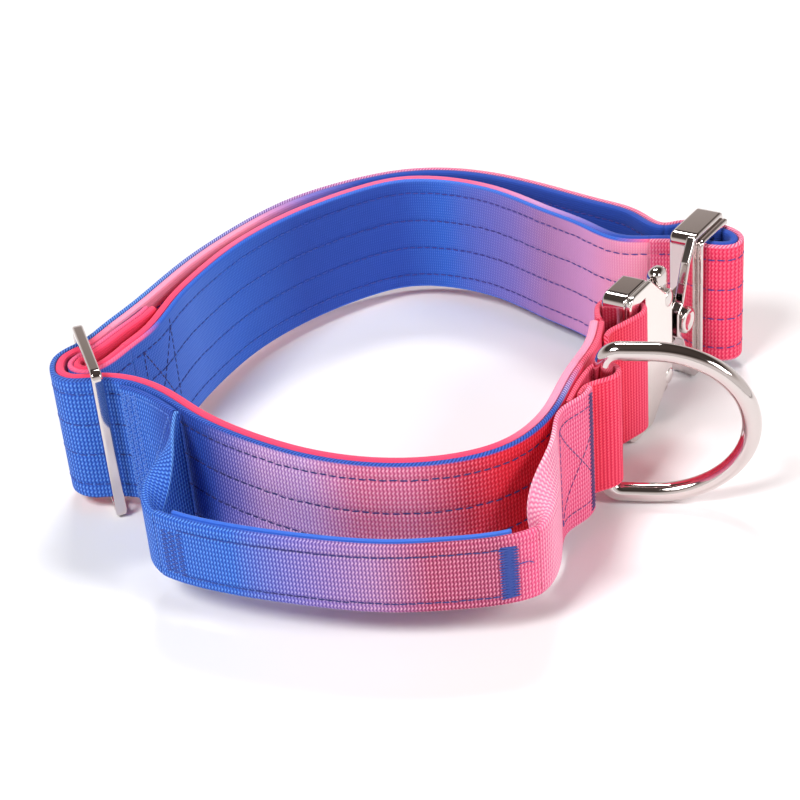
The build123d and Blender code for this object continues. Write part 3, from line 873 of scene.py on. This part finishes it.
def folding(open_at, shut_at, power):
    """Shape of a webbing whose two edges fold in, flat at one distance and shut at the other.

    Heights are places across the flat webbing, with its middle at GRIP_MIDDLE. The middle stays
    upright, and each edge rolls in round a soft fold.
    """

    def shape(distances, depth, across):
        shut = np.clip((distances - open_at) / (shut_at - open_at), 0, 1)
        angle = np.maximum(math.pi * shut**power, 1e-3)
        flat_part = HALF_WIDTH - FLAP - BEND_WIDTH / 2
        past = abs(across - GRIP_MIDDLE) - flat_part
        turned = angle * np.clip(past / BEND_WIDTH, 0, 1)
        free = max(past - BEND_WIDTH, 0)
        inward = BEND_WIDTH / angle * (1 - np.cos(turned)) + free * np.sin(angle)
        rise = BEND_WIDTH / angle * np.sin(turned) + free * np.cos(angle)
        ply = FLARE_PLY * depth
        inward = LEAN * inward + ply * np.cos(turned) - ply
        height = flat_part + min(past, 0) + rise - ply * np.sin(turned)
        level = MIDDLE + (GRIP_MIDDLE - MIDDLE) * shut
        return inward, level + np.sign(across - GRIP_MIDDLE) * height

    return shape


def folded_end(name, start, end, shape):
    """One end of the handle: full-width webbing whose edges fold in towards the grip."""
    return band(name, handle, start, end, (0, FLARE_PLY), handle_look,
                low=GRIP_MIDDLE - HALF_WIDTH, high=GRIP_MIDDLE + HALF_WIDTH, step=0.9, radius=0.6,
                shape=shape)


flare = folded_end("left_flare", 0, FLARE_END, folding(1, 37, 1.0))
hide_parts("handle_left_flare")
right = folded_end("right_end", GRIP_END, handle.length, folding(214, 173, 2.4))
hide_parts("handle_right_end")
grip = band("grip", handle, FLARE_END, GRIP_END, (0, GRIP_THICKNESS), handle_look,
            low=GRIP_LOW, high=GRIP_HIGH, radius=1.4, rows=GRIP_ROWS, corded=False)
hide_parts("grip_webbing")
soft = band("grip_soft_lining", handle, SOFT_START, SOFT_END, SOFT_FACES, grip_lining_look,
            low=GRIP_LOW + 0.6, high=GRIP_HIGH + 0.3, rows=GRIP_ROWS)
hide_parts("grip_lining")

# The handle's stitching: rows on both faces of the grip, bar-tacks at its ends, one loose thread,
# and a crossed box and a bar-tack where the right end is sewn down.
FRONT_STITCH, BACK_STITCH = 0.02, 4.98
LOOSE_THREAD = ((164.0, -0.2, 28.0), (167.4, -1.0, 28.8), (169.4, -0.5, 27.2))
sewn = []
for z in GRIP_ROWS:
    sewn += running(50, 161, FRONT_STITCH, z, pitch=2.7, length=2.5, size=0.24)
    sewn += running(48, 160, BACK_STITCH, z, size=0.24)
for d in (44.5, 47.5, 50.5):
    sewn += bar_tack(d, GRIP_LOW + 4, GRIP_HIGH - 5, -0.05, width=2.6, pitch=0.9)
sewn += bar_tack(161.2, GRIP_LOW + 3, GRIP_HIGH - 3.4, -0.14, width=6.4, pitch=0.52, size=0.36)
sewn += [(a, b, 0.2) for a, b in zip(LOOSE_THREAD, LOOSE_THREAD[1:])]
NEAR, FAR = handle.length - 23, handle.length - 4
HANDLE_BOX = (
    ((NEAR, 50), (FAR, 24)), ((NEAR, 12), (FAR, 38)), ((NEAR, 50), (NEAR, 12)),
    ((NEAR, 50), (FAR, 50)), ((NEAR, 12), (FAR, 12)),
)
sewn += sewn_lines(HANDLE_BOX, -0.03, pitch=2.7, length=2.3, size=0.22)
sewn += bar_tack(handle.length - 2.4, 7.5, 53.5, -0.12, width=3.6, pitch=0.75, size=0.38)
stitches("handle_stitching", handle, sewn, handle_thread, "collar")

# A crossed box through the inner run, where the tail is sewn to it.
NEAR, FAR = 942, 962
INNER_BOX = (
    ((FAR, 50), (FAR, 14)), ((NEAR, 53), (NEAR, 14)), ((FAR, 50), (NEAR, 16)),
    ((FAR, 16), (NEAR, 50)), ((FAR, 14), (NEAR, 14)),
)
box_rows = sewn_lines(INNER_BOX, COVER[1] + 0.02, pitch=2.8, length=2.1, size=0.3)
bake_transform(stitches("inner_box_stitching", strap, box_rows, box_thread, None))

# A crossed box and three bar-tacks through the handle's left patch.
NEAR, FAR = 214, 238
PATCH_BOX = (
    ((NEAR, 9.5), (FAR, 9.5)), ((NEAR, 51.5), (FAR, 51.5)), ((NEAR, 9.5), (NEAR, 51.5)),
    ((FAR, 9.5), (FAR, 51.5)), ((NEAR, 9.5), (FAR, 51.5)), ((NEAR, 51.5), (FAR, 9.5)),
)
patch_rows = sewn_lines(PATCH_BOX, COVER[1] + 2.18)
for d in (234.5, 237.5, 240.0):
    patch_rows += bar_tack(d, 8.5, 52.5, COVER[1] + 2.2, width=2.4, pitch=1.1)
stitches("patch_stitching", strap, patch_rows, patch_thread, "collar")

# -------------------- D-ring
# Drawn as (away from its bar, up): a straight side with rounded corners, two legs and a half ellipse.
RING_ANGLE = math.radians(-11.9)
RING_MIDDLE, RING_WIRE = 32.4, 3.4
HALF, CORNER, LEG, REACH = 28.6, 5.6, 16.0, 50.1
upper = [(CORNER - CORNER * math.cos(a), HALF - CORNER + CORNER * math.sin(a))
         for a in np.linspace(0, math.pi / 2, 10)[1:]]
upper += [(x, HALF) for x in np.linspace(CORNER, LEG, 6)[1:-1]]
ring_plan = [(0, y) for y in np.linspace(CORNER - HALF, HALF - CORNER, 20)] + upper
ring_plan += [(LEG + (REACH - LEG) * math.cos(a), HALF * math.sin(a))
              for a in np.linspace(math.pi / 2, -math.pi / 2, 72)]
ring_plan += [(x, -y) for x, y in reversed(upper)]
ring_points = [(RING_BAR[0] + x * math.cos(RING_ANGLE), RING_BAR[1] + x * math.sin(RING_ANGLE),
                RING_MIDDLE + y) for x, y in ring_plan]
ring_mesh = tube(ring_points, RING_WIRE, 28, closed=True)
metal_piece("leash_ring", [ring_mesh], "d_ring", "polished_metal", "d_ring")

# -------------------- slider
HARD = MIDDLE  # half the height of the slider and the buckle, which stand on the floor
slider_outline = rounded(rectangle(-20.4, 20.4, -HARD, HARD), 4)
slider_opening = rounded(rectangle(-18.6, 18.6, -27.3, 27.3), 1.6)
slider_mesh = plate([slider_outline, slider_opening], -2.0, 2.0, 0.9, SLIDER)
metal_piece("slider_loop", [slider_mesh], "slider", "polished_metal", "slider_frame")
slider_bar_mesh = tube([(*SLIDER_BAR, z) for z in np.linspace(3.4, 57.6, 12)], 2.0, 20)
metal_piece("slider_centre_bar", [slider_bar_mesh], "slider", "polished_metal", "slider_bar")

# -------------------- buckle, female half
# Outline corners are (along, up), and a third number is a corner's own radius.
SLOT = 25.6  # half the height of the slots for the webbing
PIVOT_ALONG, PIVOT_UP = 31.0, 16.5
FEMALE = upper_and_lower([(0, HARD, 4.5), (17, HARD, 2), (28.5, 20, 2.5), (34, 20, 2.5)])
female_slot = rounded(rectangle(6.5, 12.5, -SLOT, SLOT), 1.2)
pivots = [circle((PIVOT_ALONG, up * PIVOT_UP), 2.0) for up in (1, -1)]
END_BAR = upper_and_lower([(0, HARD, 5), (17, HARD, 2), (24.0, 24.1), (23.0, 21.2), (13.9, 21.2)])
FLOOR = upper_and_lower([(12.8, HARD - 0.3, 2), (16.9, HARD - 0.3, 2), (28.5, 20, 2.5), (34, 20, 2.5)])
female_meshes = [
    plate([rounded(END_BAR, 0.6), female_slot], -6.0, 3.62, 1.0, BUCKLE, 6),
    plate([rounded(FLOOR, 3)], -5.95, -3.6, 0.6, BUCKLE),
]
metal_piece("female_body", female_meshes, "collar", "polished_metal", "female_housing")
face_mesh = plate([rounded(FEMALE, 3), female_slot] + pivots, 3.65, 6.0, 0.75, BUCKLE)
metal_piece("female_face", [face_mesh], "collar", "plate_metal", "female_face_plate")

CLIP_ARM = [(17.0, 17.0), (17.0, 14.0), (18.5, 11.0), (21.7, 10.1), (24.5, 10.1), (25.5, 13.0),
            (33.5, 13.5), (34.5, 18.5), (36.5, 21.0), (29.5, 21.5), (27.0, 17.0)]
CLIP_PAD = [(28.6, 16.5, 1), (37.4, 16.5, 1), (37.8, 27.2, 4), (28.9, 27.2, 4)]
CLIP_HALF = 3.2  # half the clip's thickness
# One end of a pivot rivet, as (radius, height over the buckle's middle plane).
RIVET_HEAD = [(0.5, 6.72), (1.6, 6.62), (2.5, 6.38), (3.0, 6.1), (3.1, 5.95), (2.0, 5.9)]
SPRING_ALONG, SPRING_UP, SPRING_SEAT = 19.5, 19.1, 21.05
SPRING_RADIUS, SPRING_LENGTH, SPRING_TURNS, SPRING_WIRE = 1.75, 3.9, 3, 0.25


def mirrored(corners, up):
    """Corners as they are for up = 1, and turned upside down for up = -1."""
    return [(p[0], up * p[1], *p[2:]) for p in corners]


for name, up in (("upper", 1), ("lower", -1)):
    hole = circle((PIVOT_ALONG, up * PIVOT_UP), 2.06)
    arm = rounded(mirrored(CLIP_ARM, up), 0.8)
    pad = rounded(mirrored(CLIP_PAD, up), 2)
    meshes = [
        plate([arm, hole], -CLIP_HALF, CLIP_HALF, 0.45, BUCKLE),
        plate([pad], -CLIP_HALF, CLIP_HALF, 2.9, BUCKLE, 8),
    ]
    metal_piece(f"{name}_clip_lever", meshes, f"{name}_clip", "polished_metal", f"{name}_clip")
    place = BUCKLE @ Matrix.Translation((PIVOT_ALONG * MM, up * PIVOT_UP * MM, 0))
    whole = RIVET_HEAD + [(r, -z) for r, z in reversed(RIVET_HEAD)]
    metal_piece(f"{name}_rivet", [lathe(whole[::-1], place)], "collar", "rivet_metal",
                f"{name}_pivot_rivet")
    low = up * SPRING_UP - SPRING_LENGTH / 2
    coil = []
    for t in np.linspace(0, SPRING_TURNS, 90):
        along = SPRING_ALONG + SPRING_RADIUS * math.cos(2 * math.pi * t)
        out = SPRING_RADIUS * math.sin(2 * math.pi * t)
        coil.append((*on_buckle(along, out), MIDDLE + low + SPRING_LENGTH * t / SPRING_TURNS))
    spring = metal_piece(f"{name}_spring", [tube(coil, SPRING_WIRE, 10)], "collar",
                         "spring_steel", f"{name}_clip_spring")
    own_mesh(spring)


# -------------------- buckle, male half
def open_frame(start, top, end, corner, start_corner=1.5):
    """Outline of a frame round the strap's slot, open past its bar, with two ears."""
    upper = [(start, top, start_corner), (end, top, corner), (end, SLOT, 1), (74.0, SLOT, 0.6)]
    return rounded(upper_and_lower(upper), 1)


CENTRE_RIVET = 46.0  # its place along the buckle
rivet_hole = circle((CENTRE_RIVET, 0), 2.5)
window = rounded(rectangle(58.3, 66.5, -SLOT, SLOT), 1.2)
NECK = upper_and_lower([(40, 5, 2), (44, 8, 3), (49.5, 22, 3), (55, 30.0, 1), (57.5, 30.0, 1)])
meshes = [
    plate([open_frame(54.3, HARD, 80.0, 4, 4.5), window], -5.5, 5.5, 1.2, BUCKLE, 6),
    plate([rounded(NECK, 2), rivet_hole], 1.6, 5.45, 0.7, BUCKLE),
    plate([open_frame(56.2, 28.0, 79.6, 4, 3.0), window], 5.2, 7.6, 1.0, BUCKLE, 6),
]
metal_piece("male_body", meshes, "male_half", "polished_metal", "male_frame")
TONGUE = upper_and_lower([(14.5, 9.3), (15.5, 10.8), (18, 10.8), (21.2, 9.8), (53.5, 9.8)])
blade_mesh = plate([rounded(TONGUE, 0.8), rivet_hole], -1.5, 1.5, 0.4, BUCKLE)
metal_piece("male_blade", [blade_mesh], "male_half", "polished_metal", "male_tongue")
place = BUCKLE @ Matrix.Translation((CENTRE_RIVET * MM, 0, 0))
boss = [(2.45, -2.5), (2.45, 5.5), (5.0, 5.5), (5.2, 5.7), (5.2, 6.6), (4.9, 7.1), (4.2, 7.4),
        (3.4, 7.3), (2.9, 6.9), (2.2, 6.8), (0.6, 6.8)]
metal_piece("male_rivet", [lathe(boss, place)], "male_half", "rivet_metal", "male_centre_rivet")

# -------------------- floor, light and camera
floor_look = Nodes("floor")
speck = floor_look.noise(floor_look.node("TexCoord").outputs["Object"], 3.0, 3.0)
floor_tone = floor_look.mix(speck, (0.90, 0.90, 0.905), (0.93, 0.93, 0.93))
floor_look.set(Base_Color=floor_tone, Roughness=0.9)
# The floor lies a little under the collar's edge.
bpy.ops.mesh.primitive_plane_add(size=14, location=(0, 2, -0.0004))
floor = bpy.context.object
floor.name = "floor"
floor.data.materials.append(floor_look.material)

# The world is bright round the horizon and dark overhead, which gives the metal its contrast.
world = bpy.data.worlds.new("studio")
bpy.context.scene.world = world
world.use_nodes = True
tree = world.node_tree
direction = tree.nodes.new("ShaderNodeTexCoord")
parts = tree.nodes.new("ShaderNodeSeparateXYZ")
shade = tree.nodes.new("ShaderNodeValToRGB")
tree.links.new(direction.outputs["Generated"], parts.inputs[0])
tree.links.new(parts.outputs[2], shade.inputs[0])
tree.links.new(shade.outputs[0], tree.nodes["Background"].inputs[0])
SKY_BOTTOM, SKY_TOP = (1.0, 0.98, 0.97, 1), (0.10, 0.08, 0.07, 1)
SKY_BANDS = ((0.30, (0.92, 0.88, 0.86, 1)), (0.46, (0.42, 0.37, 0.34, 1)),
             (0.60, (0.05, 0.04, 0.035, 1)))
SKY_STRENGTH = 0.9
stops = shade.color_ramp.elements
stops[0].position, stops[0].color = 0.0, SKY_BOTTOM
stops[1].position, stops[1].color = 1.0, SKY_TOP
for level, color in SKY_BANDS:
    stop = stops.new(level)
    stop.color = color
tree.nodes["Background"].inputs[1].default_value = SKY_STRENGTH

AIM = (0, 0, 0.03)  # all lights point here


def softbox(name, place, size, power):
    """A rectangular light of a power in watts, pointed at AIM."""
    light = bpy.data.lights.new(name, "AREA")
    light.shape = "RECTANGLE"
    light.size, light.size_y = size
    light.energy = power
    obj = bpy.data.objects.new(name, light)
    bpy.context.collection.objects.link(obj)
    obj.location = place
    obj.rotation_mode = "QUATERNION"
    obj.rotation_quaternion = (Vector(AIM) - Vector(place)).to_track_quat("-Z", "Y")


softbox("key", (-0.75, -0.8, 1.35), (0.55, 0.55), 22)
softbox("fill", (1.2, -0.85, 1.0), (0.5, 0.5), 13)
softbox("back", (0.1, 1.2, 1.7), (0.7, 0.35), 19)

CAMERA_PLACE = (-0.007, -0.5992, 0.3776)
CAMERA_TILT, CAMERA_TURN = math.radians(59.0), math.radians(-5.168)
camera = bpy.data.cameras.new("camera")
camera.lens = 83.98
camera.sensor_width = 36.0
camera_object = bpy.data.objects.new("camera", camera)
bpy.context.collection.objects.link(camera_object)
camera_object.location = CAMERA_PLACE
turned = Matrix.Rotation(CAMERA_TILT, 4, "X") @ Matrix.Rotation(CAMERA_TURN, 4, "Z")
camera_object.rotation_euler = turned.to_euler()
bpy.context.scene.camera = camera_object
bpy.context.scene.view_settings.view_transform = "Standard"
